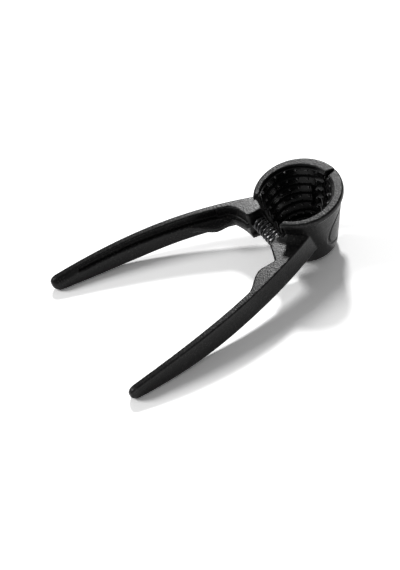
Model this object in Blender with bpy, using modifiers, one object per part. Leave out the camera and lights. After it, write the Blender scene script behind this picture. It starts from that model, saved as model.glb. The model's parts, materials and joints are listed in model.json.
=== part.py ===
"""A spring-loaded nutcracker: two cast arms, a hinge pin and a compression spring.

The arms are drawn in the cup's own frame. Its origin is the centre of the cup's rim, +Z is the cup's
axis, +X points to the handles and +Y to the near arm. The far arm lies at -Y. The whole object leans
forward from there, to stand on the front of the cup's bottom edge and on the ends of the two handles.
"""
import math

import bmesh
import bpy
from mathutils import Matrix, Vector

mm = 0.001

# Cup, with depths measured down from its rim
MOUTH_RADIUS = 21.5 * mm
MOUTH_FORWARD = 1.5 * mm
RIM_WIDTH = 4.1 * mm
COLLAR_BULGE = 0.5 * mm
COLLAR_HEIGHT = 3.4 * mm
COLLAR_STEP = 0.65 * mm
LEDGES = 6
FIRST_LEDGE = 2.1 * mm
LEDGE_SPACING = 6.2 * mm
LEDGE_WIDTH = 1.15 * mm
WALL_DRAFT = 0.1 * mm
BELOW_LAST_LEDGE = 5.9 * mm
CUP_FLOOR = 4.0 * mm
CUP_FOOT_WALL = 2.8 * mm
BOTTOM_CHAMFER = 0.5 * mm

RIM_RADIUS = MOUTH_RADIUS + RIM_WIDTH
CUP_BOTTOM_RADIUS = MOUTH_RADIUS - LEDGES * LEDGE_WIDTH + CUP_FOOT_WALL
CUP_DEPTH = FIRST_LEDGE + (LEDGES - 1) * LEDGE_SPACING + BELOW_LAST_LEDGE + CUP_FLOOR

# Teeth inside the cup
TOOTH_RADIUS = 0.95 * mm
TOOTH_TIP_RADIUS = 0.6 * mm
TOOTH_HEIGHT = 0.9 * mm
TOOTH_BELOW_LEDGE = 1.2 * mm
TEETH_IN_ROW = 7
TOOTH_STEP = math.radians(18.5)
FIRST_TOOTH = math.radians(48.5)
TOOTH_FROM_PARTING = 1.4 * mm

# Parting between the two halves, and the hinge behind the cup
PARTING_ANGLE = math.radians(16.5)
PARTING_GAP = 0.3 * mm
RUNNING_GAP = 0.3 * mm
CASTING_GAP = 0.5 * mm
PIN_INSET = 3.3 * mm
PIN_RADIUS = 2.0 * mm
PIN_CHAMFER = 0.4 * mm
PIN_HEAD_RADIUS = 3.1 * mm
PIN_HEAD_HEIGHT = 1.3 * mm
PIN_COVER = 2.4 * mm
KNUCKLE_WALL = 1.4 * mm
KNUCKLE_HEIGHT = 6.7 * mm
KNUCKLES_FROM = 4.6 * mm

PIN_BEHIND = RIM_RADIUS - PIN_INSET
BORE_RADIUS = PIN_RADIUS + RUNNING_GAP
KNUCKLE_RADIUS = BORE_RADIUS + KNUCKLE_WALL

# Legs that the spring pushes apart, and the spring
LEG_HALF_GAP = 13.9 * mm
LEG_FRONT = 28.6 * mm
LEG_CORNER = 1.5 * mm
LEG_DEPTH = 31.5 * mm
LEG_FOOT = 5.0 * mm
SPRING_BEHIND_FRONT = 5.9 * mm
SPRING_DOWN = 21.3 * mm
SPRING_RADIUS = 3.9 * mm
WIRE_RADIUS = 0.675 * mm
SPRING_TURNS = 9.5
END_TURN_PITCH = 1.9 * mm
POINTS_PER_TURN = 9
PEG_CLEARANCE = 0.8 * mm
PEG_LENGTH = 3.0 * mm

SPRING_FORWARD = LEG_FRONT - SPRING_BEHIND_FRONT
PEG_RADIUS = SPRING_RADIUS - WIRE_RADIUS - PEG_CLEARANCE

# Flat lugs on the legs: the near arm's reaches over its end of the spring, the far arm's under the other
# end. The step keeps the near arm's lug and leg from having two faces in one plane
TOP_LUG_LENGTH = 6.9 * mm
TOP_LUG_REACH = 0.9 * mm
TOP_LUG_SLOPE = 0.595
TOP_LUG_STEP = 0.1 * mm
LOW_LUG_LENGTH = 13.6 * mm
LOW_LUG_REACH = 0.8 * mm
LOW_LUG_SLOPE = 0.32
LOW_LUG_THICKNESS = 3.0 * mm

# Handles, seen from above: the outer edge is one Bezier curve from the cup to the tip
ROOT_X = 9.0 * mm
ROOT_Y = 21.7 * mm
ROOT_SLOPE = 0.472
ROOT_REACH = 45.0 * mm
TIP_X = 143.4 * mm
TIP_Y = 50.8 * mm
TIP_SLOPE = 0.04
TIP_REACH = 50.0 * mm
TOP_WIDTH_AT_LEG = 4.4 * mm
TOP_WIDTH_AT_TIP = 3.6 * mm
LIP = 2.2 * mm
BAR_START = 5.0 * mm
TIP_ROUNDING = 4.2 * mm
TIP_BLUNTNESS = 0.3
TOP_CHAMFER = 0.35 * mm
BOTTOM_ROUNDING = 1.4 * mm

# Handles, seen from the side: the top face is a shallow arch below the rim
ARCH_BELOW_RIM = 9.6 * mm
ARCH_RISE = 3.4 * mm
ARCH_MIDDLE = 92.0 * mm
ARCH_HALF_SPAN = 74.0 * mm
BAR_HEIGHT = 16.3 * mm
TIP_HEIGHT = 8.2 * mm
TAPER_LENGTH = 63.4 * mm
SLOPE_OUT = 0.7
SLOPE_DOWN = 0.3
LIP_FROM = 0.5

# Long pocket in the inner side of each handle
POCKET_BEHIND_FRONT = 4.6 * mm
POCKET_FROM_TIP = 17.4 * mm
POCKET_TOP_SKIN = 0.9 * mm
POCKET_WALL = 2.7 * mm
POCKET_FLOOR_AT_LEG = 7.3 * mm
POCKET_FLOOR_AT_END = 3.7 * mm

POCKET_START = LEG_FRONT - POCKET_BEHIND_FRONT
POCKET_END = TIP_X - POCKET_FROM_TIP

# Shelf beside each leg, and the scoop on the other side of the same arm, all measured from the leg
SHELF_NOSE = 5.7 * mm
SHELF_STRAIGHT = 8.7 * mm
SHELF_RETURN = 15.0 * mm
SHELF_SIDE = 25.0 * mm
SHELF_INSET = 0.3 * mm
SHELF_THICKNESS = 3.8 * mm
LOW_SHELF_DROP = 7.4 * mm
SCOOP_LENGTH = 11.4 * mm
ROOT_ABOVE_BOTTOM = 1.0 * mm
ROOT_INSET = 0.7 * mm

SHELF_FRONT = LEG_FRONT + SHELF_NOSE
SHELF_TURN = SHELF_FRONT + SHELF_STRAIGHT
SHELF_END = SHELF_TURN + SHELF_RETURN
SCOOP_END = LEG_FRONT + SCOOP_LENGTH

# Fineness of the curves, and how far a cutter runs past what it cuts
STATION_SPACING = 3.0 * mm
ROUND_STEPS = 72
ROD_STEPS = 28
SHARP_ANGLE = math.radians(30)
PAST = 5.0 * mm

NEAR, FAR = 1, -1

part_collection = bpy.data.collections.new("nutcracker")
tool_collection = bpy.data.collections.new("cutters")


def clear_scene():
    for item in list(bpy.data.objects):
        bpy.data.objects.remove(item, do_unlink=True)
    for collection in (part_collection, tool_collection):
        bpy.context.scene.collection.children.link(collection)


def add_object(name, mesh, collection):
    item = bpy.data.objects.new(name, mesh)
    collection.objects.link(item)
    if collection is tool_collection:
        item.hide_render = True
        item.display_type = "WIRE"
    return item


def mesh_object(name, bm, collection=tool_collection):
    bmesh.ops.recalc_face_normals(bm, faces=bm.faces)
    mesh = bpy.data.meshes.new(name)
    bm.to_mesh(mesh)
    bm.free()
    return add_object(name, mesh, collection)


def material(name, colour, roughness, metallic):
    made = bpy.data.materials.new(name)
    made.use_nodes = True
    shader = made.node_tree.nodes["Principled BSDF"]
    shader.inputs["Base Color"].default_value = (*colour, 1.0)
    shader.inputs["Roughness"].default_value = roughness
    shader.inputs["Metallic"].default_value = metallic
    return made


def turned(name, profile, centre_x, steps, collection=tool_collection):
    """Turn a profile of (radius, height) points about a line that stands at centre_x."""
    mesh = bpy.data.meshes.new(name)
    points = [(radius, 0.0, height) for radius, height in profile]
    mesh.from_pydata(points, [(i, i + 1) for i in range(len(points) - 1)], [])
    item = add_object(name, mesh, collection)
    item.location.x = centre_x
    screw = item.modifiers.new("turn", "SCREW")
    screw.axis = "Z"
    screw.steps = screw.render_steps = steps
    screw.use_merge_vertices = True
    screw.merge_threshold = 0.00001
    return item


def rod(name, radius, start, end):
    """A cylinder from one end point to the other."""
    start, end = Vector(start), Vector(end)
    along = end - start
    bm = bmesh.new()
    turn = along.to_track_quat("Z", "Y").to_matrix().to_4x4()
    place = Matrix.Translation((start + end) / 2) @ turn
    bmesh.ops.create_cone(bm, cap_ends=True, segments=ROD_STEPS, radius1=radius, radius2=radius,
                          depth=along.length, matrix=place)
    return mesh_object(name, bm)


def solid_mesh(item):
    """An object's shape as it stands, as a mesh with its loose ends joined."""
    bpy.context.view_layer.update()
    mesh = bpy.data.meshes.new_from_object(item.evaluated_get(bpy.context.evaluated_depsgraph_get()))
    bm = bmesh.new()
    bm.from_mesh(mesh)
    bmesh.ops.remove_doubles(bm, verts=bm.verts, dist=0.00001)
    bm.to_mesh(mesh)
    bm.free()
    return mesh


def plate(name, outline, low, high):
    """A flat outline of (x, y) points, made thick from height low to height high."""
    curve = bpy.data.curves.new(name, "CURVE")
    curve.dimensions = "2D"
    curve.fill_mode = "BOTH"
    curve.extrude = (high - low) / 2
    spline = curve.splines.new("POLY")
    spline.points.add(len(outline) - 1)
    for point, (x, y) in zip(spline.points, outline):
        point.co = (x, y, 0.0, 1.0)
    spline.use_cyclic_u = True
    drawn = add_object(name, curve, tool_collection)
    drawn.location.z = (low + high) / 2
    item = add_object(name, solid_mesh(drawn), tool_collection)
    item.matrix_world = drawn.matrix_world.copy()
    bpy.data.objects.remove(drawn)
    return item


def loft(name, sections, collection=tool_collection):
    """A closed body through sections, each with the same number of points in the same order."""
    bm = bmesh.new()
    rings = [[bm.verts.new(point) for point in section] for section in sections]
    for ring, following in zip(rings, rings[1:]):
        for i in range(len(ring)):
            j = (i + 1) % len(ring)
            bm.faces.new((ring[i], ring[j], following[j], following[i]))
    bm.faces.new(rings[0])
    bm.faces.new(reversed(rings[-1]))
    return mesh_object(name, bm, collection)


def boolean(item, operation, tool):
    step = item.modifiers.new(f"{operation.lower()} {tool.name}", "BOOLEAN")
    step.operation = operation
    step.solver = "EXACT"
    step.object = tool


def mix(start, end, share):
    return start * (1.0 - share) + end * share


def clamp(value):
    return min(1.0, max(0.0, value))


def smooth_step(value):
    value = clamp(value)
    return value * value * (3.0 - 2.0 * value)


def bezier(p0, p1, p2, p3, t):
    u = 1.0 - t
    return u ** 3 * p0 + 3 * u * u * t * p1 + 3 * u * t * t * p2 + t ** 3 * p3


def outer_edge(x):
    """Distance of a handle's outer face from the middle, at x. It runs straight on inside the cup."""
    if x <= ROOT_X:
        return ROOT_Y + (x - ROOT_X) * ROOT_SLOPE
    xs = (ROOT_X, ROOT_X + ROOT_REACH, TIP_X - TIP_REACH, TIP_X)
    ys = (ROOT_Y, ROOT_Y + ROOT_REACH * ROOT_SLOPE, TIP_Y - TIP_REACH * TIP_SLOPE, TIP_Y)
    low, high = 0.0, 1.0
    for _ in range(40):
        middle = (low + high) / 2
        if bezier(*xs, middle) < x:
            low = middle
        else:
            high = middle
    return bezier(*ys, low)


def inner_edge(x):
    share = clamp((x - LEG_FRONT) / (TIP_X - LEG_FRONT))
    return outer_edge(x) - mix(TOP_WIDTH_AT_LEG, TOP_WIDTH_AT_TIP, share)


def top(x):
    return -ARCH_BELOW_RIM - ARCH_RISE * ((x - ARCH_MIDDLE) / ARCH_HALF_SPAN) ** 2


def bottom(x):
    taper = clamp((x - TIP_X + TAPER_LENGTH) / TAPER_LENGTH) ** 2
    return top(x) - mix(BAR_HEIGHT, TIP_HEIGHT, taper)


def pocket_floor(x):
    share = clamp((x - LEG_FRONT) / (POCKET_END - LEG_FRONT))
    return top(x) - mix(POCKET_FLOOR_AT_LEG, POCKET_FLOOR_AT_END, share)


def scoop_edge(x):
    """Inner edge of the leg and of the hollow between leg and handle."""
    corner_x = LEG_FRONT - LEG_CORNER
    corner_y = LEG_HALF_GAP + LEG_CORNER
    if x <= corner_x:
        return LEG_HALF_GAP
    if x < LEG_FRONT:
        return corner_y - math.sqrt(max(0.0, LEG_CORNER ** 2 - (x - corner_x) ** 2))
    across = (SCOOP_END - x) / (SCOOP_END - LEG_FRONT)
    return mix(corner_y, inner_edge(SCOOP_END), math.sqrt(max(0.0, 1.0 - across ** 2)))


def shelf_edge(x, side_y, handle_y):
    """Inner edge of a shelf: out along the leg, straight on, then back to the handle."""
    leg_side = LEG_FRONT + LEG_CORNER
    leg_face = LEG_HALF_GAP + SHELF_INSET
    if x <= leg_side:
        return leg_face
    if x < SHELF_FRONT:
        return mix(leg_face, side_y, (x - leg_side) / (SHELF_FRONT - leg_side))
    return mix(side_y, handle_y, smooth_step((x - SHELF_TURN) / (SHELF_END - SHELF_TURN)))


def quarter(start, end, degrees):
    """Positions from start to end that crowd towards the end, as on a quarter of a round."""
    return [mix(start, end, math.sin(math.radians(a))) for a in degrees]


def all_stations():
    """Every position along X where some piece of an arm has a section.

    All pieces share them, so that their upper faces lie in the same planes.
    """
    tip_rounding = quarter(TIP_X - TIP_ROUNDING, TIP_X, (0, 25, 45, 60, 73, 84))
    pocket_end = quarter(POCKET_END - pocket_rounding(), POCKET_END, (0, 30, 55, 75, 87))
    corner = quarter(LEG_FRONT - LEG_CORNER, LEG_FRONT, (0, 30, 60, 80))
    scoop = quarter(SCOOP_END, LEG_FRONT, (0, 15, 30, 42, 54, 66, 78, 87))
    single = [BAR_START, POCKET_START, LEG_FRONT, LEG_FRONT + LEG_CORNER, SHELF_FRONT, SHELF_END]
    fixed = sorted({*tip_rounding, *pocket_end, *corner, *scoop, *single})
    even = [i * STATION_SPACING for i in range(1, int(TIP_X / STATION_SPACING))]
    clear = [x for x in even if min(abs(x - other) for other in fixed) > STATION_SPACING / 5]
    return sorted(fixed + clear)


def stations(start, end):
    return [x for x in all_stations() if start <= x <= end]


def tip_shrink(x):
    """Share of its full size that a handle's section keeps at x: less than 1 only where the tip is round."""
    past = clamp((x - TIP_X + TIP_ROUNDING) / TIP_ROUNDING)
    return mix(math.sqrt(1.0 - past ** 2), 1.0, TIP_BLUNTNESS)


def bar_heights(x):
    middle = (top(x) + bottom(x)) / 2
    return mix(middle, top(x), tip_shrink(x)), mix(middle, bottom(x), tip_shrink(x))


def bar(name, side):
    """The handle: flat top, upright outer face, and an inner face that slopes out to a thick lower lip."""
    sections = []
    for x in stations(BAR_START, TIP_X):
        high, low = bar_heights(x)
        edges = outer_edge(x), inner_edge(x), inner_edge(x) - LIP
        out, inn, lip = (mix((edges[0] + edges[1]) / 2, y, tip_shrink(x)) for y in edges)
        rounding = min(BOTTOM_ROUNDING, (high - low) / 4)
        cut = rounding * (1.0 - math.sqrt(0.5))
        outline = [(out, high - TOP_CHAMFER), (out - TOP_CHAMFER, high),
                   (inn + TOP_CHAMFER, high), (inn, high - TOP_CHAMFER),
                   (mix(inn, lip, SLOPE_OUT), mix(high, low, SLOPE_DOWN)), (lip, mix(high, low, LIP_FROM)),
                   (lip, low + rounding), (lip + cut, low + cut), (lip + rounding, low),
                   (out - rounding, low), (out - cut, low + cut), (out, low + rounding)]
        sections.append([(x, side * y, z) for y, z in outline])
    return loft(name, sections, part_collection)


def leg_root(name, side):
    """The block that joins handle, leg and cup. The leg's foot reaches lower than the rest."""
    sections = []
    for x in stations(BAR_START, SCOOP_END):
        out, inn, low = outer_edge(x) - ROOT_INSET, scoop_edge(x), bottom(x) + ROOT_ABOVE_BOTTOM
        foot = mix(-LEG_DEPTH, low, clamp((x - LEG_FRONT) / LEG_FOOT))
        foot_side = min(inn + LEG_FOOT, (inn + out) / 2)
        outline = [(out, top(x)), (inn, top(x)), (inn, foot), (foot_side, foot),
                   ((foot_side + out) / 2, low), (out, low)]
        sections.append([(x, side * y, z) for y, z in outline])
    return loft(name, sections)


def pocket_rounding():
    """Radius of the pocket's round end."""
    return (top(POCKET_END) - POCKET_TOP_SKIN - pocket_floor(POCKET_END)) / 2


def pocket(name, side):
    """Cutter for the long pocket, with a round end near the tip."""
    round_from = POCKET_END - pocket_rounding()
    sections = []
    for x in stations(POCKET_START, POCKET_END):
        squeeze = math.sqrt(1.0 - clamp((x - round_from) / pocket_rounding()) ** 2)
        high, low = top(x) - POCKET_TOP_SKIN, pocket_floor(x)
        middle = (high + low) / 2
        high, low = mix(middle, high, squeeze), mix(middle, low, squeeze)
        back, front = outer_edge(x) - POCKET_WALL, inner_edge(x) - LIP - PAST
        outline = (back, high), (front, high), (front, low), (back, low)
        sections.append([(x, side * y, z) for y, z in outline])
    return loft(name, sections)


def shelf(name, side, drop, inset):
    """The shelf beside a leg: level with the top of its arm, or lower by drop and wider by inset."""
    sections = []
    for x in stations(POCKET_START, SHELF_END):
        out = outer_edge(x) - ROOT_INSET
        inn = shelf_edge(x, SHELF_SIDE - inset, inner_edge(x) - inset)
        high = top(x) - drop
        low = high - SHELF_THICKNESS
        sections.append([(x, side * y, z) for y, z in ((out, high), (inn, high), (inn, low), (out, low))])
    return loft(name, sections)


def lug(name, side, length, front, reach, slope, thickness, upper):
    """A flat lug on a leg, widest at the cup: a small step below the leg's top, or level with its foot."""
    sections = []
    for x in (LEG_FRONT - length, front):
        inn = LEG_HALF_GAP - reach - slope * (front - x)
        out = LEG_HALF_GAP + 2 * LEG_CORNER
        high = top(x) - TOP_LUG_STEP if upper else thickness - LEG_DEPTH
        low = high - thickness
        sections.append([(x, side * y, z) for y, z in ((out, high), (inn, high), (inn, low), (out, low))])
    return loft(name, sections)


def cup_wall():
    """The outside of the cup, as a solid: a collar under the rim, then a cone."""
    def cone(depth):
        return mix(RIM_RADIUS, CUP_BOTTOM_RADIUS, depth / CUP_DEPTH)

    widest = RIM_RADIUS + COLLAR_BULGE
    under = COLLAR_HEIGHT + COLLAR_STEP
    above_chamfer = CUP_DEPTH - BOTTOM_CHAMFER
    profile = [(0.0, 0.0), (RIM_RADIUS - COLLAR_BULGE / 2, 0.0),
               (mix(RIM_RADIUS, widest, 0.5), -COLLAR_BULGE), (widest, -COLLAR_HEIGHT / 2),
               (widest, -COLLAR_HEIGHT), (cone(under), -under),
               (cone(above_chamfer), -above_chamfer), (CUP_BOTTOM_RADIUS - BOTTOM_CHAMFER, -CUP_DEPTH),
               (0.0, -CUP_DEPTH)]
    return turned("cup_wall", profile, 0.0, ROUND_STEPS)


def ledge_depth(i):
    return FIRST_LEDGE + i * LEDGE_SPACING


def ledge_radius(i):
    """Radius of the hollow just above ledge i."""
    return MOUTH_RADIUS - i * LEDGE_WIDTH


def cup_hollow():
    """The stepped hollow. It runs past the rim at the top."""
    profile = [(0.0, PAST), (MOUTH_RADIUS, PAST)]
    for i in range(LEDGES):
        profile.append((ledge_radius(i), -ledge_depth(i)))
        profile.append((ledge_radius(i + 1) + WALL_DRAFT, -ledge_depth(i)))
    profile += [(ledge_radius(LEDGES), CUP_FLOOR - CUP_DEPTH), (0.0, CUP_FLOOR - CUP_DEPTH)]
    return turned("cup_hollow", profile, MOUTH_FORWARD, ROUND_STEPS)


def distance_from_parting(x, y):
    """Distance of a point in the cup from the face where the near half ends, inside that half."""
    return (y - PARTING_GAP / 2) * math.cos(PARTING_ANGLE) - (x + RIM_RADIUS) * math.sin(PARTING_ANGLE)


def gap_between_halves(name, side):
    """Everything across the middle from one arm: a wedge behind, and the gap between the legs in front."""
    edge = PARTING_GAP / 2
    slope = math.tan(PARTING_ANGLE)
    meets_leg = -RIM_RADIUS + (LEG_HALF_GAP - edge) / slope
    far_off = 3 * RIM_RADIUS
    outline = [(-far_off, edge), (-RIM_RADIUS, edge), (meets_leg, LEG_HALF_GAP), (far_off, LEG_HALF_GAP),
               (far_off, -far_off), (-far_off, -far_off)]
    return plate(name, [(x, side * y) for x, y in outline], -2 * CUP_DEPTH, CUP_DEPTH)


def teeth(name, side):
    """A row of blunt teeth under each ledge, wherever the half is wide enough for one."""
    bm = bmesh.new()
    for row in range(LEDGES):
        radius = ledge_radius(row + 1)
        for i in range(TEETH_IN_ROW):
            angle = FIRST_TOOTH + i * TOOTH_STEP
            x, y = MOUTH_FORWARD + radius * math.cos(angle), radius * math.sin(angle)
            if distance_from_parting(x, y) < TOOTH_FROM_PARTING:
                continue
            place = Matrix.Translation((x, side * y, -ledge_depth(row) - TOOTH_BELOW_LEDGE))
            inward = Vector((MOUTH_FORWARD - x, -side * y, 0.0)).to_track_quat("Z", "Y")
            bmesh.ops.create_cone(bm, cap_ends=True, segments=8, radius1=TOOTH_RADIUS,
                                  radius2=TOOTH_TIP_RADIUS, depth=2 * TOOTH_HEIGHT,
                                  matrix=place @ inward.to_matrix().to_4x4())
    return mesh_object(name, bm)


def on_hinge(name, radius, high, low):
    return rod(name, radius, (-PIN_BEHIND, 0.0, low), (-PIN_BEHIND, 0.0, high))


def knuckle_span(i):
    """Top and bottom of knuckle i. The near arm has knuckles 0 and 2, the far arm has knuckle 1."""
    high = -KNUCKLES_FROM - i * (KNUCKLE_HEIGHT + RUNNING_GAP)
    return high, high - KNUCKLE_HEIGHT


def add_knuckles(arm, own, others):
    """Give an arm room for the other arm's knuckles, its own, a bore, and a way in for the pin."""
    for i in others:
        high, low = knuckle_span(i)
        room = on_hinge(f"{arm.name}_room_{i}", KNUCKLE_RADIUS + CASTING_GAP,
                        high + CASTING_GAP, low - CASTING_GAP)
        boolean(arm, "DIFFERENCE", room)
    for i in own:
        boolean(arm, "UNION", on_hinge(f"{arm.name}_knuckle_{i}", KNUCKLE_RADIUS, *knuckle_span(i)))
    lowest = knuckle_span(2)[1]
    boolean(arm, "DIFFERENCE", on_hinge(f"{arm.name}_bore", BORE_RADIUS,
                                        knuckle_span(0)[0] - PIN_COVER, lowest - PAST))
    boolean(arm, "DIFFERENCE", on_hinge(f"{arm.name}_way_in", PIN_HEAD_RADIUS + CASTING_GAP,
                                        lowest, -CUP_DEPTH - PAST))


def finished_mesh(item, finish):
    """An object's shape as it stands, in its material, with its round faces shaded smooth."""
    mesh = solid_mesh(item)
    mesh.materials.clear()
    mesh.materials.append(finish)
    mesh.shade_smooth()
    mesh.set_sharp_from_angle(angle=SHARP_ANGLE)
    return mesh


def settle(item, finish):
    """Keep the result of an object's modifiers as its mesh."""
    mesh = finished_mesh(item, finish)
    item.modifiers.clear()
    item.data = mesh


def add_arm(name, side, shelf_drop, shelf_inset, lug_sizes, own, others, cup, finish):
    """One casting: handle, leg and half cup, with its shelf, spring peg, knuckles and teeth."""
    wall, hollow = cup
    arm = bar(name, side)
    boolean(arm, "DIFFERENCE", pocket(f"{name}_pocket", side))
    boolean(arm, "UNION", leg_root(f"{name}_leg_root", side))
    boolean(arm, "UNION", shelf(f"{name}_shelf", side, shelf_drop, shelf_inset))
    boolean(arm, "UNION", wall)
    boolean(arm, "DIFFERENCE", gap_between_halves(f"{name}_gap", side))
    boolean(arm, "UNION", lug(f"{name}_lug", side, *lug_sizes))
    boolean(arm, "DIFFERENCE", hollow)
    peg = rod(f"{name}_peg", PEG_RADIUS, (SPRING_FORWARD, side * (LEG_HALF_GAP + LEG_CORNER), -SPRING_DOWN),
              (SPRING_FORWARD, side * (LEG_HALF_GAP - PEG_LENGTH), -SPRING_DOWN))
    boolean(arm, "UNION", peg)
    boolean(arm, "UNION", teeth(f"{name}_teeth", side))
    add_knuckles(arm, own, others)
    settle(arm, finish)
    return arm


def add_pin(finish):
    """A headed pin. It goes in from below and ends inside the top knuckle."""
    start = knuckle_span(0)[0] - PIN_COVER - RUNNING_GAP
    under = knuckle_span(2)[1] - RUNNING_GAP
    end = under - PIN_HEAD_HEIGHT
    profile = [(0.0, start), (PIN_RADIUS - PIN_CHAMFER, start), (PIN_RADIUS, start - PIN_CHAMFER),
               (PIN_RADIUS, under), (PIN_HEAD_RADIUS, under), (PIN_HEAD_RADIUS, end + PIN_CHAMFER),
               (PIN_HEAD_RADIUS - PIN_CHAMFER, end), (0.0, end)]
    pin = turned("hinge_pin", profile, -PIN_BEHIND, ROD_STEPS, part_collection)
    settle(pin, finish)
    return pin


def spring_points():
    """One helix along Y. Its first and last turn are closer than the rest."""
    length = 2 * (LEG_HALF_GAP - RUNNING_GAP - WIRE_RADIUS)
    pitch = (length - 2 * END_TURN_PITCH) / (SPRING_TURNS - 2)
    count = round(SPRING_TURNS * POINTS_PER_TURN)
    points = []
    for i in range(count + 1):
        turn = i * SPRING_TURNS / count
        first = min(turn, 1.0) * END_TURN_PITCH
        last = max(0.0, turn - (SPRING_TURNS - 1)) * END_TURN_PITCH
        middle = min(max(0.0, turn - 1.0), SPRING_TURNS - 2) * pitch
        angle = 2 * math.pi * turn
        points.append(Vector((SPRING_FORWARD + SPRING_RADIUS * math.cos(angle),
                              first + middle + last - length / 2,
                              -SPRING_DOWN + SPRING_RADIUS * math.sin(angle))))
    return points


def least_gap(points):
    """Smallest space between two stretches of wire that lie at least half a turn apart."""
    apart = POINTS_PER_TURN // 2
    nearest = min((a - b).length for i, a in enumerate(points) for b in points[i + apart:])
    return nearest - 2 * WIRE_RADIUS


def add_spring(finish):
    points = spring_points()
    print(f"spring: least gap to itself {least_gap(points) / mm:.2f} mm")
    curve = bpy.data.curves.new("spring", "CURVE")
    curve.dimensions = "3D"
    curve.bevel_depth = WIRE_RADIUS
    curve.bevel_resolution = 1
    curve.use_fill_caps = True
    spline = curve.splines.new("POLY")
    spline.points.add(len(points) - 1)
    for point, place in zip(spline.points, points):
        point.co = (*place, 1.0)
    wire = add_object("spring_wire", curve, tool_collection)
    spring = add_object("spring", finished_mesh(wire, finish), part_collection)
    bpy.data.objects.remove(wire)
    return spring


def rest_tilt():
    """Forward lean at which the cup's bottom edge and the underside of the handles share one floor."""
    radius = CUP_BOTTOM_RADIUS - BOTTOM_CHAMFER
    inset = RIM_RADIUS * math.sin(PARTING_ANGLE) + PARTING_GAP / 2 * math.cos(PARTING_ANGLE)
    heel_x = radius * math.cos(PARTING_ANGLE + math.asin(inset / radius))
    toes = stations(SHELF_END, TIP_X)
    return min(math.atan2(bar_heights(x)[1] + CUP_DEPTH, x - heel_x) for x in toes)


def set_on_floor(objects, frame):
    """Move the frame so that the middle of the object's box stands on the origin."""
    bpy.context.view_layer.update()
    corners = [item.matrix_world @ vertex.co for item in objects for vertex in item.data.vertices]
    low = [min(corner[i] for corner in corners) for i in range(3)]
    high = [max(corner[i] for corner in corners) for i in range(3)]
    frame.location = (-(low[0] + high[0]) / 2, -(low[1] + high[1]) / 2, -low[2])
    bpy.context.view_layer.update()
    print("size in mm:", [round((b - a) / mm, 2) for a, b in zip(low, high)])


def main():
    clear_scene()
    cast = material("cast_black", (0.012, 0.012, 0.013), 0.45, 0.0)
    steel = material("spring_steel", (0.30, 0.30, 0.31), 0.3, 1.0)

    frame = bpy.data.objects.new("cup_frame", None)
    frame.rotation_euler.y = rest_tilt()
    hinge = bpy.data.objects.new("hinge_line", None)
    hinge.location.x = -PIN_BEHIND
    hinge.parent = frame
    for empty in (frame, hinge):
        part_collection.objects.link(empty)

    cup = cup_wall(), cup_hollow()
    top_lug = (TOP_LUG_LENGTH, LEG_FRONT + LEG_CORNER, TOP_LUG_REACH, TOP_LUG_SLOPE, SHELF_THICKNESS, True)
    low_lug = (LOW_LUG_LENGTH, LEG_FRONT, LOW_LUG_REACH, LOW_LUG_SLOPE, LOW_LUG_THICKNESS, False)
    near = add_arm("near_arm", NEAR, 0.0, 0.0, top_lug, (0, 2), (1,), cup, cast)
    far = add_arm("far_arm", FAR, LOW_SHELF_DROP, LIP, low_lug, (1,), (0, 2), cup, cast)
    pin = add_pin(steel)
    spring = add_spring(steel)

    for item in (near, pin, spring, *tool_collection.objects):
        item.parent = frame
    far.parent = hinge
    far.location.x = PIN_BEHIND
    set_on_floor((near, far, pin, spring), frame)
    points = {"hinge": (-PIN_BEHIND, 0.0, -SPRING_DOWN), "cup axis foot": (0.0, 0.0, -CUP_DEPTH)}
    for name, point in points.items():
        print(name, [round(value, 5) for value in frame.matrix_world @ Vector(point)])
    print("cup axis", [round(value, 6) for value in frame.matrix_world.to_3x3() @ Vector((0.0, 0.0, 1.0))])


main()
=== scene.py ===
# %% [markdown]
# # A spring-loaded nutcracker
# This is a hand tool for nuts: a tapered cup that is split down the middle, with a long handle on each
# half. A pin behind the cup joins the halves, and a small spring holds the handles open. Everything that
# moves or carries load comes from the engineer's model, which is loaded first and never changed. What this
# lesson adds is the look: softened cast edges, a grainy black coating, dark steel, a table and light.

import json
import math

import bmesh
import bpy
from mathutils import Matrix, Vector


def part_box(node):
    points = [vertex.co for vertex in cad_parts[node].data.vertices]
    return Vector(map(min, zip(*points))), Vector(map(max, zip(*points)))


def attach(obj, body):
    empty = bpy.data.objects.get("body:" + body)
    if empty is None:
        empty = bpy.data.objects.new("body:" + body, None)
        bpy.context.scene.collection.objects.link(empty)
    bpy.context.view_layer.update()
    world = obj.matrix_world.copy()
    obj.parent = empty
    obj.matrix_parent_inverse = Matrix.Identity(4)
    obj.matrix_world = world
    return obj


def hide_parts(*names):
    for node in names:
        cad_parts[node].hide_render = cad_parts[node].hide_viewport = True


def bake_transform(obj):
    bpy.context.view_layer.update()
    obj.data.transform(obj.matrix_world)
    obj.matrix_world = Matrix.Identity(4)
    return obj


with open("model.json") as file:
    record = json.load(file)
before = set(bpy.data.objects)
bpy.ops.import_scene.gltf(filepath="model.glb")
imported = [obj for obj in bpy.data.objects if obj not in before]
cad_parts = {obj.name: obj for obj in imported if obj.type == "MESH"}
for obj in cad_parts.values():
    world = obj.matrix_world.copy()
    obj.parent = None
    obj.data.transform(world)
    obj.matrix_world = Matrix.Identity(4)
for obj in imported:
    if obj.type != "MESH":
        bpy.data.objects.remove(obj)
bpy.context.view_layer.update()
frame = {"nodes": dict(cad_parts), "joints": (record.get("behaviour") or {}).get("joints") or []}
mm = 0.001
print("nodes:", sorted(frame["nodes"]))

# %% [markdown]
# ## Where things are
# The cup leans forward on the table, so its own upright axis isn't the world's. The hinge runs along that
# axis, so the joint in the record tells us the lean, and one matrix then turns cup measures into world ones.
# In the cup's frame the rim is at height 0, the middle of the cup is at the origin, X points to the tips of
# the handles and Y to the near arm. Heights below the rim are negative.

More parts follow.
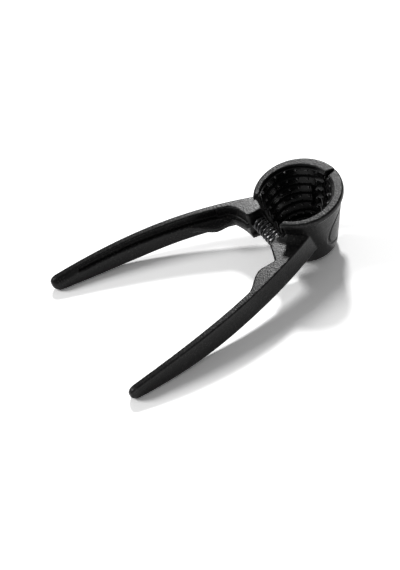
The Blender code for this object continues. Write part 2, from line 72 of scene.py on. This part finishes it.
# %% The cup's own frame
HINGE_IN_CUP = Vector((-22.3, 0.0, -22.2)) * mm

hinge = frame["joints"][0]
hinge_axis = Vector(hinge["axis"])
lean = math.atan2(hinge_axis.x, hinge_axis.z)
turn = Matrix.Rotation(lean, 4, "Y")
cup_frame = Matrix.Translation(Vector(hinge["pos_m"]) - turn @ HINGE_IN_CUP) @ turn
print(f"the cup leans {math.degrees(lean):.2f} degrees; its rim centre is at {cup_frame.translation}")

# %% [markdown]
# ## The camera
# The photographer stood near the end of one handle and looked down at about 46 degrees, with the camera
# turned a few degrees on its own axis. A Track To constraint would aim a camera at the tool, but without that
# roll. A new camera looks straight down, so three turns aim this one: a tilt up from there, a turn about the
# upright axis, and a roll about the line of sight.

# %% The photographer's camera
CAMERA_PLACE = Vector((0.237087, 0.449954, 0.528945))
CAMERA_TURN = math.radians(153.474)
CAMERA_ELEVATION = math.radians(46.148)
CAMERA_ROLL = math.radians(-4.833163)
FOCAL_LENGTH = 79.886
SENSOR_WIDTH = 36.0
NEAREST_SEEN = 10 * mm


def linked(name, data):
    """A new object for a mesh, a camera or a light, in the scene and at the origin."""
    made = bpy.data.objects.new(name, data)
    bpy.context.scene.collection.objects.link(made)
    return made


lens = bpy.data.cameras.new("photo_camera")
lens.lens = FOCAL_LENGTH
lens.sensor_width = SENSOR_WIDTH
lens.clip_start = NEAREST_SEEN
camera = linked("photo_camera", lens)
aim = Matrix.Rotation(CAMERA_TURN, 4, "Z") @ Matrix.Rotation(math.pi / 2 - CAMERA_ELEVATION, 4, "X")
camera.matrix_world = Matrix.Translation(CAMERA_PLACE) @ aim @ Matrix.Rotation(CAMERA_ROLL, 4, "Z")
bpy.context.scene.camera = camera
print("camera:", camera.name, "roll", round(math.degrees(CAMERA_ROLL), 2))

# %% [markdown]
# ## Writing materials as expressions
# A surface in Blender is a graph of nodes, which is slow to read in code. The small class here wraps one
# output socket, so that `1 - mask` or `grain * 0.3` adds the Math nodes by itself, and the paint box below
# makes every other kind of node in one method: its settings first, then the values or links of its inputs.

# %% Sockets that can be added and multiplied
class Field:
    """One output socket: a number, colour or vector that changes over a surface."""

    def __init__(self, paint, socket):
        self.paint = paint
        self.socket = socket

    def maths(self, operation, *values):
        return self.paint.node("Math", {"operation": operation}, dict(enumerate(values)))

    def __add__(self, other):
        return self.maths("ADD", self, other)

    def __sub__(self, other):
        return self.maths("SUBTRACT", self, other)

    def __rsub__(self, other):
        return self.maths("SUBTRACT", other, self)

    def __mul__(self, other):
        return self.maths("MULTIPLY", self, other)

    __radd__ = __add__
    __rmul__ = __mul__


print("sockets can be added, subtracted and multiplied")

# %% The paint box
class Paint:
    """A material in the making."""

    def __init__(self, name):
        self.material = bpy.data.materials.new(name)
        self.material.use_nodes = True
        self.tree = self.material.node_tree
        self.shader = self.tree.nodes["Principled BSDF"]

    def feed(self, socket, value):
        """Link a field to an input, or set the input to a number, a colour or a vector."""
        if isinstance(value, Field):
            self.tree.links.new(value.socket, socket)
        else:
            socket.default_value = (*value, 1.0) if socket.type == "RGBA" and len(value) == 3 else value

    def node(self, kind, settings=None, inputs=None, output=0):
        """Any node: its settings, then its inputs, and the output that the field stands for."""
        made = self.tree.nodes.new("ShaderNode" + kind)
        for name, value in (settings or {}).items():
            setattr(made, name, value)
        for name, value in (inputs or {}).items():
            self.feed(made.inputs[name], value)
        return Field(self, made.outputs[output])

    def set(self, **values):
        """Set or link the shader's sockets, named with _ for a space."""
        for name, value in values.items():
            self.feed(self.shader.inputs[name.replace("_", " ").title().replace("Ior", "IOR")], value)

    def place(self):
        return self.node("TexCoord", output="Object")

    def noise(self, place, size, detail=2.0, roughness=0.5):
        """Noise whose blotches are about size metres across."""
        inputs = {"Vector": place, "Scale": 1.0 / size, "Detail": detail, "Roughness": roughness}
        return self.node("TexNoise", {}, inputs)

    def rise(self, value, low, high):
        """0 below low, 1 above high, and smooth between them."""
        inputs = {"Value": value, "From Min": low, "From Max": high}
        return self.node("MapRange", {"interpolation_type": "SMOOTHSTEP"}, inputs)

    def between(self, factor, first, second):
        """A colour between two others. The Mix node has its colours on sockets 6 and 7 and on output 2."""
        return self.node("Mix", {"data_type": "RGBA"}, {0: factor, 6: first, 7: second}, output=2)

    def seen_rays(self):
        """1 for what the camera sees, also in a mirror or through glass, and 0 for light that bounces on."""
        camera, mirror, glass = (self.node("LightPath", output=f"Is {kind} Ray")
                                 for kind in ("Camera", "Glossy", "Transmission"))
        return camera.maths("MAXIMUM", camera.maths("MAXIMUM", camera, mirror), glass)

    def bump(self, height, depth):
        """Turn a height from 0 to 1 into relief that is depth metres deep."""
        return self.node("Bump", {}, {"Height": height, "Distance": depth, "Strength": 1.0})


print("paint box ready")

# %% [markdown]
# ## The black coating
# Both castings are light metal under a black non-stick coating. Sprayed coating isn't smooth: it dries with
# a fine orange-peel grain, and light that grazes it picks out pale specks. The grain is noise with features
# of about a millimetre, and it drives three things at once, so they line up: a little relief, how glossy a
# speck is, and how pale. Wider, fainter patches stop large faces from looking even. The colour itself is
# nearly black, so the tone that is seen comes from the gloss. A picture of the grain could be wrapped on
# instead, but noise needs no unwrapping, and on Object coordinates it stays with the piece when it moves.
#
# Inside the cup nuts rub the coating smooth, so the steps there get the same recipe with less grain and a
# little more gloss, and the teeth get the most gloss.

# %% Coated casting
COAT_BLACK = (0.004, 0.004, 0.0042)
COAT_SPECK = (0.060, 0.058, 0.056)
GRAIN = 1.0 * mm
GRAIN_DETAIL = 1.5
GRAIN_CRISPNESS = 0.6
PATCH = 14 * mm
PATCH_DETAIL = 3.0
SPECKS_FROM, SPECKS_FULL = 0.54, 0.70
GRAIN_TO_ROUGH = 0.20
PATCH_TO_ROUGH = 0.10
NOISE_MIDDLE = 0.5


def coating(name, gloss, rough, speck_share, relief_depth):
    """Black coating whose grain drives its relief, its gloss from speck to speck and its pale specks."""
    paint = Paint(name)
    place = paint.place()
    grain = paint.noise(place, GRAIN, GRAIN_DETAIL, GRAIN_CRISPNESS)
    patches = paint.noise(place, PATCH, PATCH_DETAIL)
    specks = paint.rise(grain, SPECKS_FROM, SPECKS_FULL)
    colour = paint.between(specks * (patches * speck_share), COAT_BLACK, COAT_SPECK)
    uneven = (NOISE_MIDDLE - grain) * GRAIN_TO_ROUGH + (patches - NOISE_MIDDLE) * PATCH_TO_ROUGH
    paint.set(base_color=colour, roughness=rough + uneven, specular_ior_level=gloss,
              normal=paint.bump(grain, relief_depth))
    return paint


coat = coating("black_coating", gloss=0.20, rough=0.31, speck_share=0.9, relief_depth=0.15 * mm)
print("coating:", coat.material.name)

# %% The same coating rubbed smooth inside the cup
worn = coating("worn_coating", gloss=0.24, rough=0.20, speck_share=0.1, relief_depth=0.05 * mm)
polished = coating("tooth_coating", gloss=1.0, rough=0.20, speck_share=0.0, relief_depth=0.02 * mm)
print("worn coatings:", worn.material.name, polished.material.name)

# %% [markdown]
# ## Steel
# The spring is steel wire and the pin a turned steel rod. The spring looks dark, because most of what it
# mirrors is the black casting on either side, so the steel is given a dark colour: painted shade and painted
# reflection, much darker than bare steel.
# Patches of noise dull it as old oil does, and a very fine noise stands for the marks that drawing leaves on
# wire.

# %% Steel for the spring and the pin
# Both steel colours are painted shade and painted reflection of the black castings, far darker than bare
# steel; the second is also dulled by old oil.
STEEL_PAINTED_DARK = (0.11, 0.11, 0.113)
STEEL_DULL_PAINTED_DARK = (0.045, 0.045, 0.047)
DULL_PATCH = 3 * mm
DULL_DETAIL = 3.0
DULL_FROM, DULL_FULL = 0.35, 0.7
CLEAN_ROUGH = 0.26
DULL_ADDS = 0.14
WIRE_MARK = 0.12 * mm
WIRE_MARK_DEPTH = 0.01 * mm

# This material carries the painted shade of the steel colours above.
steel = Paint("spring_steel")
place = steel.place()
dull = steel.rise(steel.noise(place, DULL_PATCH, DULL_DETAIL), DULL_FROM, DULL_FULL)
marks = steel.noise(place, WIRE_MARK)
steel.set(base_color=steel.between(dull, STEEL_PAINTED_DARK, STEEL_DULL_PAINTED_DARK), metallic=1.0,
          roughness=CLEAN_ROUGH + dull * DULL_ADDS, normal=steel.bump(marks, WIRE_MARK_DEPTH))
print("steel:", steel.material.name)

# %% [markdown]
# ## The two castings
# A die-cast part has no sharp edge anywhere, because metal won't fill one and the coating rounds it again.
# The engineer's solids have crisp edges. A Bevel modifier is the usual way to soften them, but it wants clean
# edges, and these solids are loose triangles that were cut from one another. So a copy of each is joined up,
# rebuilt as an even skin of small squares with a voxel Remesh, and smoothed a little: that rounds every edge
# by about half a millimetre, inside corners too, and leaves flat faces flat. The sizes of the cup and of the
# arms' tops come first, because the later steps need to know where the walls are.

# %% Sizes that the engineer's cup was drawn with
RIM_RADIUS = 25.6 * mm
BOTTOM_RADIUS = 17.4 * mm
CUP_DEPTH = 43.0 * mm
MOUTH_RADIUS = 21.5 * mm
MOUTH_FORWARD = 1.5 * mm
LEDGES = 6
FIRST_LEDGE = 2.1 * mm
LEDGE_SPACING = 6.2 * mm
LEDGE_WIDTH = 1.15 * mm
FLOOR_HEIGHT = -39.0 * mm
PARTING_ANGLE = math.radians(16.5)
PARTING_START = Vector((-RIM_RADIUS, 0.15 * mm, 0.0))


def cone_radius(height):
    """Outer radius of the cup at a height below its rim."""
    return RIM_RADIUS + (BOTTOM_RADIUS - RIM_RADIUS) * -height / CUP_DEPTH


def hollow_radius(height):
    """Inner radius of the stepped hollow at a height below the rim."""
    passed = math.floor((-height - FIRST_LEDGE) / LEDGE_SPACING) + 1
    return MOUTH_RADIUS - LEDGE_WIDTH * min(max(passed, 0), LEDGES)


print("cup radius half way down:", round(cone_radius(-CUP_DEPTH / 2) / mm, 2), "mm")

# %% The top of each arm, as the engineer drew it
ARCH_BELOW_RIM = 9.6 * mm
ARCH_RISE = 3.4 * mm
ARCH_MIDDLE = 92.0 * mm
ARCH_HALF_SPAN = 74.0 * mm
ROOT_X = 9.0 * mm
ROOT_Y = 21.7 * mm
ROOT_SLOPE = 0.472


def arm_top(x):
    """Height of an arm's top face."""
    return -ARCH_BELOW_RIM - ARCH_RISE * ((x - ARCH_MIDDLE) / ARCH_HALF_SPAN) ** 2


def arm_edge(x):
    """How far out the outer edge of an arm is near its root."""
    return ROOT_Y + (x - ROOT_X) * ROOT_SLOPE


print("arm top beside the cup:", round(arm_top(20 * mm) / mm, 2), "mm from the rim")

# %% [markdown]
# After the rebuild the skin is an even net of points, so shallow relief can be pressed into it by moving
# points, as a sculptor would. Behind the steps the wall is taken back, because crisp steps are laid over it
# later. In the far half, beside the hinge, it is taken back much further, which makes the deep slot that
# the photograph shows there. Outside, a plain oval groove runs round the back of the cup. Last, the top of
# the near arm is raised in a hollow curve where it meets the cup.

# %% Where the hollow's wall is taken back
WALL_BACK = 0.45 * mm
BELOW_RIM = 0.9 * mm
FULL_WITHIN = 0.7 * mm
ABOVE_FLOOR = 0.4 * mm
INSIDE_WALL = 0.9 * mm
SOFT_CORNER = 0.15 * mm
SLOT_ANGLES = math.radians(145), math.radians(158)
SLOT_HEIGHTS = -30.0 * mm, -14.0 * mm
SLOT_DEPTH = 3.2 * mm


def smooth_step(value):
    """0 up to 0, 1 from 1 on, and smooth between them."""
    value = min(max(value, 0.0), 1.0)
    return value * value * (3.0 - 2.0 * value)


def in_slot(angle, height):
    """Whether a place on the hollow's wall is in the slot, which is in the far half, at negative angles."""
    return SLOT_ANGLES[0] < -angle < SLOT_ANGLES[1] and SLOT_HEIGHTS[0] < height < SLOT_HEIGHTS[1]


def hollow_push(from_mouth, height):
    """How far a point of the hollow's wall goes outwards, away from the axis of the mouth."""
    slot = in_slot(math.atan2(from_mouth.y, from_mouth.x), height)
    back = SLOT_DEPTH if slot else WALL_BACK * smooth_step((-height - BELOW_RIM) / FULL_WITHIN)
    return max(back, hollow_radius(height) + back - SOFT_CORNER - from_mouth.length)


print("slot depth:", SLOT_DEPTH / mm, "mm")

# %% The oval groove round the back
OVAL_HEIGHT = -23.5 * mm
OVAL_HALF_LENGTH = 29.0 * mm
OVAL_HALF_WIDTH = 15.0 * mm
OVAL_POWER = 2.6
GROOVE_HALF_WIDTH = 0.75 * mm
GROOVE_DEPTH = 0.55 * mm
GROOVE_ENDS = 1.5


def groove_at(angle, height, radius):
    """How deep the groove is at a point on the cup's outside. It ends at 1.5 half widths from its middle."""
    along = (math.pi - abs(angle)) * radius / OVAL_HALF_LENGTH
    up = abs(height - OVAL_HEIGHT) / OVAL_HALF_WIDTH
    level = (along ** OVAL_POWER + up ** OVAL_POWER) ** (1 / OVAL_POWER)
    steep = math.hypot(along ** (OVAL_POWER - 1) / OVAL_HALF_LENGTH, up ** (OVAL_POWER - 1) / OVAL_HALF_WIDTH)
    distance = abs(level - 1.0) / max(steep * level ** (1 - OVAL_POWER), 1.0)
    return GROOVE_DEPTH * smooth_step(GROOVE_ENDS - distance / GROOVE_HALF_WIDTH)


print("groove depth:", GROOVE_DEPTH / mm, "mm")

# %% The hollow curve where the near arm meets the cup
FILLET_REACH = 7.0 * mm
FILLET_RISE = 3.0 * mm
FILLET_EDGE = 4.0 * mm
FILLET_INNER = 10.5 * mm
INTO_CUP = 0.5 * mm
ABOVE_TOP = 0.4 * mm
TOP_SKIN = 3.6 * mm


def fillet_at(x, y, height, outside):
    """How much the near arm's top rises at a point that is outside the cup's wall by a distance."""
    below_top = arm_top(x) - height
    beside_cup = -INTO_CUP < outside < FILLET_REACH
    if x < ROOT_X or y < 0.0 or not beside_cup or not -ABOVE_TOP < below_top < TOP_SKIN:
        return 0.0
    near = 1.0 - max(outside, 0.0) / FILLET_REACH
    from_edge = smooth_step((arm_edge(x) - y) / FILLET_EDGE) * smooth_step((y - FILLET_INNER) / FILLET_EDGE)
    return FILLET_RISE * near ** 2 * from_edge * smooth_step(1.0 - below_top / TOP_SKIN)


print("fillet rise:", FILLET_RISE / mm, "mm")

# %% Press relief into a skin
WALL_SKIN = 0.35 * mm
COLLAR_UNDER = -4.6 * mm


def outside_move(x, y, height):
    """Where a point on the outside of a casting goes: up for the hollow curve, or in for the groove."""
    outer = math.hypot(x, y)
    outside = outer - cone_radius(height)
    rise = fillet_at(x, y, height, outside)
    if rise > 0.0:
        return Vector((0.0, 0.0, rise))
    if abs(outside) < WALL_SKIN and height < COLLAR_UNDER:
        return Vector((x, y, 0.0)).normalized() * -groove_at(math.atan2(y, x), height, outer)
    return Vector()


def press(bm):
    """Move the points of a casting's skin, in the cup's frame, and count those that moved."""
    moved = 0
    for vert in bm.verts:
        x, y, height = vert.co
        from_mouth = Vector((x - MOUTH_FORWARD, y, 0.0))
        if not FLOOR_HEIGHT + ABOVE_FLOOR < height < -BELOW_RIM:
            continue
        if from_mouth.length < hollow_radius(height) + INSIDE_WALL:
            move = from_mouth.normalized() * hollow_push(from_mouth, height)
        else:
            move = outside_move(x, y, height)
        vert.co += move
        moved += move.length > 0.0
    return moved


print("skin is pressed from", -BELOW_RIM / mm, "to", round((FLOOR_HEIGHT + ABOVE_FLOOR) / mm, 2), "mm")

# %% Soft-edged castings
SAME_POINT = 0.01 * mm
VOXEL = 0.45 * mm
SMOOTH_PASSES = 3
SMOOTH_SHARE = 0.5


def baked(piece):
    """Keep what the modifiers make as the piece's own mesh."""
    bpy.context.view_layer.update()
    mesh = bpy.data.meshes.new_from_object(piece.evaluated_get(bpy.context.evaluated_depsgraph_get()))
    piece.modifiers.clear()
    piece.data = mesh


def even_skin(node, name):
    """A copy of a node's mesh in the cup's frame, joined up and rebuilt as small squares."""
    mesh = frame["nodes"][node].data.copy()
    mesh.name = name
    bm = bmesh.new()
    bm.from_mesh(mesh)
    bmesh.ops.remove_doubles(bm, verts=bm.verts, dist=SAME_POINT)
    bm.transform(cup_frame.inverted())
    bm.to_mesh(mesh)
    bm.free()
    piece = linked(name, mesh)
    skin = piece.modifiers.new("skin", "REMESH")
    skin.mode = "VOXEL"
    skin.voxel_size = VOXEL
    skin.use_smooth_shade = True
    baked(piece)
    return piece


def casting(node, name, body):
    """The smoothed and pressed skin of one casting, which replaces a node and rides on its body."""
    piece = even_skin(node, name)
    bm = bmesh.new()
    bm.from_mesh(piece.data)
    for _ in range(SMOOTH_PASSES):
        bmesh.ops.smooth_vert(bm, verts=bm.verts, factor=SMOOTH_SHARE,
                              use_axis_x=True, use_axis_y=True, use_axis_z=True)
    moved = press(bm)
    bm.transform(cup_frame)
    bm.to_mesh(piece.data)
    bm.free()
    piece.data.materials.clear()
    piece.data.materials.append(coat.material)
    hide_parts(node)
    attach(piece, body)
    print(f"{name}: {len(piece.data.polygons)} faces, {moved} points pressed")


casting("near_arm", "near_casting", "near_arm_body")
casting("far_arm", "far_casting", "far_arm_body")

# %% [markdown]
# ## The steps and teeth in the cup
# Nuts of any size are held by six narrow ledges and by rows of blunt teeth under them. These are the crispest
# edges on the tool, so the softened skin isn't fine enough for them, and they are laid over it. The stepped
# profile is spun half a turn about the axis of the mouth, its ledge edges are bevelled, the parting plane
# cuts it to one half of the cup, and Solidify gives it a wall that sinks into the casting. One tooth is made
# once and stamped in at every place. Both halves are drawn on the near side, and the far one is mirrored.

# %% One tooth
TOOTH_RADIUS = 1.0 * mm
TOOTH_TIP_RADIUS = 0.72 * mm
TOOTH_HEIGHT = 1.1 * mm
TOOTH_BELOW_LEDGE = 0.8 * mm
TOOTH_BEVEL = 0.36 * mm
TOOTH_SIDES = 14


def mesh_of(bm, name):
    """A new mesh with what a bmesh holds, which is then freed."""
    mesh = bpy.data.meshes.new(name)
    bm.to_mesh(mesh)
    bm.free()
    return mesh


bm = bmesh.new()
bmesh.ops.create_cone(bm, cap_ends=True, segments=TOOTH_SIDES, radius1=TOOTH_RADIUS,
                      radius2=TOOTH_TIP_RADIUS, depth=2 * TOOTH_HEIGHT)
tip = [edge for edge in bm.edges if all(vert.co.z > 0 for vert in edge.verts)]
bmesh.ops.bevel(bm, geom=tip, offset=TOOTH_BEVEL, segments=4, profile=0.5, affect="EDGES", material=-1)
tooth = mesh_of(bm, "tooth")
print("tooth:", len(tooth.polygons), "faces")

# %% The stepped profile
PROUD = 0.10 * mm
LINING_TOP = -0.55 * mm
centre = Vector((MOUTH_FORWARD, 0.0, 0.0))
parting_normal = Vector((-math.sin(PARTING_ANGLE), math.cos(PARTING_ANGLE), 0.0))


def stepped_profile():
    """Radius and height of the steps, from the rim to the floor, a little proud of the casting."""
    points = [(MOUTH_RADIUS, LINING_TOP)]
    for i in range(LEDGES):
        height = 2 * PROUD - FIRST_LEDGE - i * LEDGE_SPACING
        points += [(MOUTH_RADIUS - i * LEDGE_WIDTH, height), (MOUTH_RADIUS - (i + 1) * LEDGE_WIDTH, height)]
    points.append((MOUTH_RADIUS - LEDGES * LEDGE_WIDTH, FLOOR_HEIGHT))
    return [(radius - PROUD, height) for radius, height in points]


print("profile corners:", len(stepped_profile()))

# %% Put a half in its place and dress it
SHARP_FROM = math.radians(40)


def finish_half(piece, bm, side, body, paint):
    """Put what was drawn for the near half in its place on either half, and dress it."""
    if side < 0:
        bmesh.ops.scale(bm, vec=(1.0, -1.0, 1.0), verts=bm.verts)
        bmesh.ops.reverse_faces(bm, faces=bm.faces)
    bm.transform(cup_frame)
    for face in bm.faces:
        face.smooth = True
    bm.to_mesh(piece.data)
    bm.free()
    piece.data.set_sharp_from_angle(angle=SHARP_FROM)
    piece.data.materials.clear()
    piece.data.materials.append(paint.material)
    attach(piece, body)
    print(f"{piece.name}: {len(piece.data.polygons)} faces")


print("edges stay sharp from", round(math.degrees(SHARP_FROM)), "degrees")

# %% Spin the steps
SPIN_STEPS = 90
LEDGE_BEVEL = 0.2 * mm
LEVEL_WITHIN = 0.001 * mm


def spun_steps():
    """The profile, spun half a turn and bevelled along the front edge of each ledge."""
    profile = stepped_profile()
    bm = bmesh.new()
    line = [bm.verts.new((MOUTH_FORWARD + radius, 0.0, height)) for radius, height in profile]
    wire = [bm.edges.new(pair) for pair in zip(line, line[1:])]
    bmesh.ops.spin(bm, geom=line + wire, cent=centre, axis=(0.0, 0.0, 1.0), angle=math.pi, steps=SPIN_STEPS)
    fronts = {(round(radius / mm, 3), round(height / mm, 3)) for radius, height in profile[2:-1:2]}

    def place_of(vert):
        return round((vert.co.xy - centre.xy).length / mm, 3), round(vert.co.z / mm, 3)

    edges = [edge for edge in bm.edges if {place_of(vert) for vert in edge.verts} <= fronts
             and abs(edge.verts[0].co.z - edge.verts[1].co.z) < LEVEL_WITHIN]
    bmesh.ops.bevel(bm, geom=edges, offset=LEDGE_BEVEL, segments=3, profile=0.5, affect="EDGES", material=-1)
    return bm


print("the steps are spun in", SPIN_STEPS, "parts")

# %% Steps for each half
LINING_WALL = 0.6 * mm
BETWEEN_LEDGES = -5.0 * mm


def over_slot(face):
    """Whether a face drawn on the near side lies over the slot once it is mirrored."""
    middle = face.calc_center_median() - centre
    return in_slot(-math.atan2(middle.y, middle.x), middle.z)


def steps_for_half(name, side, body):
    """Cut the spun steps at the parting, open them at the slot and give them a wall."""
    bm = spun_steps()
    bmesh.ops.bisect_plane(bm, geom=[*bm.verts, *bm.edges, *bm.faces], plane_co=PARTING_START,
                           plane_no=parting_normal, clear_inner=True)
    if side < 0:
        bmesh.ops.delete(bm, geom=[face for face in bm.faces if over_slot(face)], context="FACES")
    bmesh.ops.recalc_face_normals(bm, faces=bm.faces)
    upright = min(bm.faces, key=lambda face: abs(face.calc_center_median().z - BETWEEN_LEDGES))
    if upright.normal.dot(upright.calc_center_median() - centre) > 0:
        bmesh.ops.reverse_faces(bm, faces=bm.faces)
    piece = linked(name, mesh_of(bm, name))
    wall = piece.modifiers.new("wall", "SOLIDIFY")
    wall.thickness = LINING_WALL
    wall.offset = -1.0
    baked(piece)
    bm = bmesh.new()
    bm.from_mesh(piece.data)
    finish_half(piece, bm, side, body, worn)


steps_for_half("near_steps", 1, "near_arm_body")
steps_for_half("far_steps", -1, "far_arm_body")

# %% Teeth for each half
TEETH_IN_ROW = 7
TOOTH_STEP = math.radians(18.5)
FIRST_TOOTH = math.radians(48.5)
TOOTH_FROM_PARTING = 1.4 * mm


def tooth_spots():
    """Where the near half's teeth stand: under each ledge, but not close to the parting."""
    for row in range(LEDGES):
        radius = MOUTH_RADIUS - (row + 1) * LEDGE_WIDTH
        height = -FIRST_LEDGE - row * LEDGE_SPACING - TOOTH_BELOW_LEDGE
        for i in range(TEETH_IN_ROW):
            angle = FIRST_TOOTH + i * TOOTH_STEP
            spot = centre + Vector((radius * math.cos(angle), radius * math.sin(angle), height))
            if (spot - PARTING_START).dot(parting_normal) >= TOOTH_FROM_PARTING:
                yield spot


def teeth_for_half(name, side, body):
    """Stamp the tooth in at each spot, with its tip towards the axis."""
    bm = bmesh.new()
    for spot in tooth_spots():
        inward = (centre - spot).to_2d().to_3d().to_track_quat("Z", "Y").to_matrix().to_4x4()
        start = len(bm.verts)
        bm.from_mesh(tooth)
        bm.verts.ensure_lookup_table()
        bmesh.ops.transform(bm, matrix=Matrix.Translation(spot) @ inward, verts=bm.verts[start:])
    finish_half(linked(name, bpy.data.meshes.new(name)), bm, side, body, polished)


teeth_for_half("near_teeth", 1, "near_arm_body")
teeth_for_half("far_teeth", -1, "far_arm_body")

# %% [markdown]
# ## The spring
# A compression spring is one wire, wound with its end turns closer together so that it sits flat. The Screw
# modifier would give every turn the same pitch. So a ring of wire is spun about the spring's axis in three
# runs, while it moves along it: slowly for an end turn, then faster, then slowly again. Its length and width
# are read from the engineer's spring, which it replaces.

# %% Wind the spring
WIRE_RADIUS = 0.675 * mm
WIRE_SIDES = 12
TURNS = 9.5
END_PITCH = 1.9 * mm
STEPS_PER_TURN = 36

low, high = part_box("spring")
spring_centre = (low + high) / 2
coil_radius = (high.z - low.z) / 2 - WIRE_RADIUS
wire_length = (high.y - low.y) - 2 * WIRE_RADIUS
middle_pitch = (wire_length - 2 * END_PITCH) / (TURNS - 2)

bm = bmesh.new()
start = Vector((spring_centre.x + coil_radius, low.y + WIRE_RADIUS, spring_centre.z))
bmesh.ops.create_circle(bm, cap_ends=True, segments=WIRE_SIDES, radius=WIRE_RADIUS,
                        matrix=Matrix.Translation(start))
edges = bm.edges[:]
for turns, pitch in ((1.0, END_PITCH), (TURNS - 2, middle_pitch), (1.0, END_PITCH)):
    spun = bmesh.ops.spin(bm, geom=edges, cent=spring_centre, axis=(0.0, 1.0, 0.0),
                          dvec=(0.0, pitch / STEPS_PER_TURN, 0.0), angle=2 * math.pi * turns,
                          steps=round(turns * STEPS_PER_TURN))
    edges = [edge for edge in spun["geom_last"] if isinstance(edge, bmesh.types.BMEdge)]
bmesh.ops.contextual_create(bm, geom=edges)
bmesh.ops.recalc_face_normals(bm, faces=bm.faces)
for face in bm.faces:
    face.smooth = len(face.verts) == 4
wire_mesh = mesh_of(bm, "coil_spring")
print(f"spring: {TURNS} turns, pitch {middle_pitch / mm:.2f} mm, {len(wire_mesh.polygons)} faces")

# %% Dress the spring and hold it between the arms
wire_mesh.materials.append(steel.material)
coil = linked("coil_spring", wire_mesh)
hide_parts("spring")
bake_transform(coil)
print("spring length:", round((high.y - low.y) / mm, 1), "mm")

# %% [markdown]
# ## The pin
# The pin sits inside the knuckles and little more than its head shows. Its shape is right already, so it
# keeps the engineer's mesh and just takes the steel.

# %% Dress the pin
pin = frame["nodes"]["hinge_pin"]
for slot in pin.material_slots:
    slot.material = steel.material
print("pin slots:", len(pin.material_slots))

# %% [markdown]
# ## Table and light
# The photograph was made on a bright white table. A lamp behind the tool draws a crisp, pale shadow towards
# the camera and puts a sheen on every face that looks up. A soft lamp on the left draws the second shadow and
# lights the right-hand side of the cup's inside. The table is so bright that only those two shadows show.
# Light Path makes it brighter where the camera sees it, by itself, in a mirror or through glass, and leaves
# it grey for the light that bounces on, so no extra diffuse light falls on the tool.

# %% Table
TABLE_GREY = 0.55
TABLE_SHOWN = 1.48
TABLE_HALF = 12.0
TABLE_BELOW = 0.05 * mm
TABLE_ROUGH = 0.9

bm = bmesh.new()
bmesh.ops.create_grid(bm, x_segments=1, y_segments=1, size=TABLE_HALF,
                      matrix=Matrix.Translation((0.0, 0.0, -TABLE_BELOW)))
table = linked("table_top", mesh_of(bm, "table_top"))

top = Paint("white_table")
level = top.seen_rays() * (TABLE_SHOWN - TABLE_GREY) + TABLE_GREY
white = top.node("CombineColor", {}, {"Red": level, "Green": level, "Blue": level})
top.set(base_color=white, roughness=TABLE_ROUGH, specular_ior_level=0.0)
table.data.materials.append(top.material)
print("table:", table.name)

# %% The room's own light
FILL = 0.26

world = bpy.data.worlds.new("white_room")
bpy.context.scene.world = world
world.use_nodes = True
background = world.node_tree.nodes["Background"]
background.inputs["Strength"].default_value = FILL
background.inputs["Color"].default_value = (1.0, 1.0, 1.0, 1.0)
print("fill:", FILL)

# %% Lamps
def lamp(name, azimuth, tilt, half_angle, level):
    """A far lamp: azimuth from +X, tilt from straight above, and its share of a level of 1 on the table."""
    light = bpy.data.lights.new(name, "SUN")
    light.angle = math.radians(2 * half_angle)
    light.energy = level * math.pi / math.cos(math.radians(tilt))
    turn_to = Matrix.Rotation(math.radians(azimuth), 3, "Z") @ Matrix.Rotation(math.radians(tilt), 3, "Y")
    linked(name, light).rotation_euler = turn_to.to_euler()
    print(f"{name}: level {level} on the table")


lamp("back_lamp", azimuth=244, tilt=46, half_angle=4, level=0.44)
lamp("side_softbox", azimuth=328, tilt=50, half_angle=10, level=0.30)
bpy.context.scene.view_settings.view_transform = "Standard"
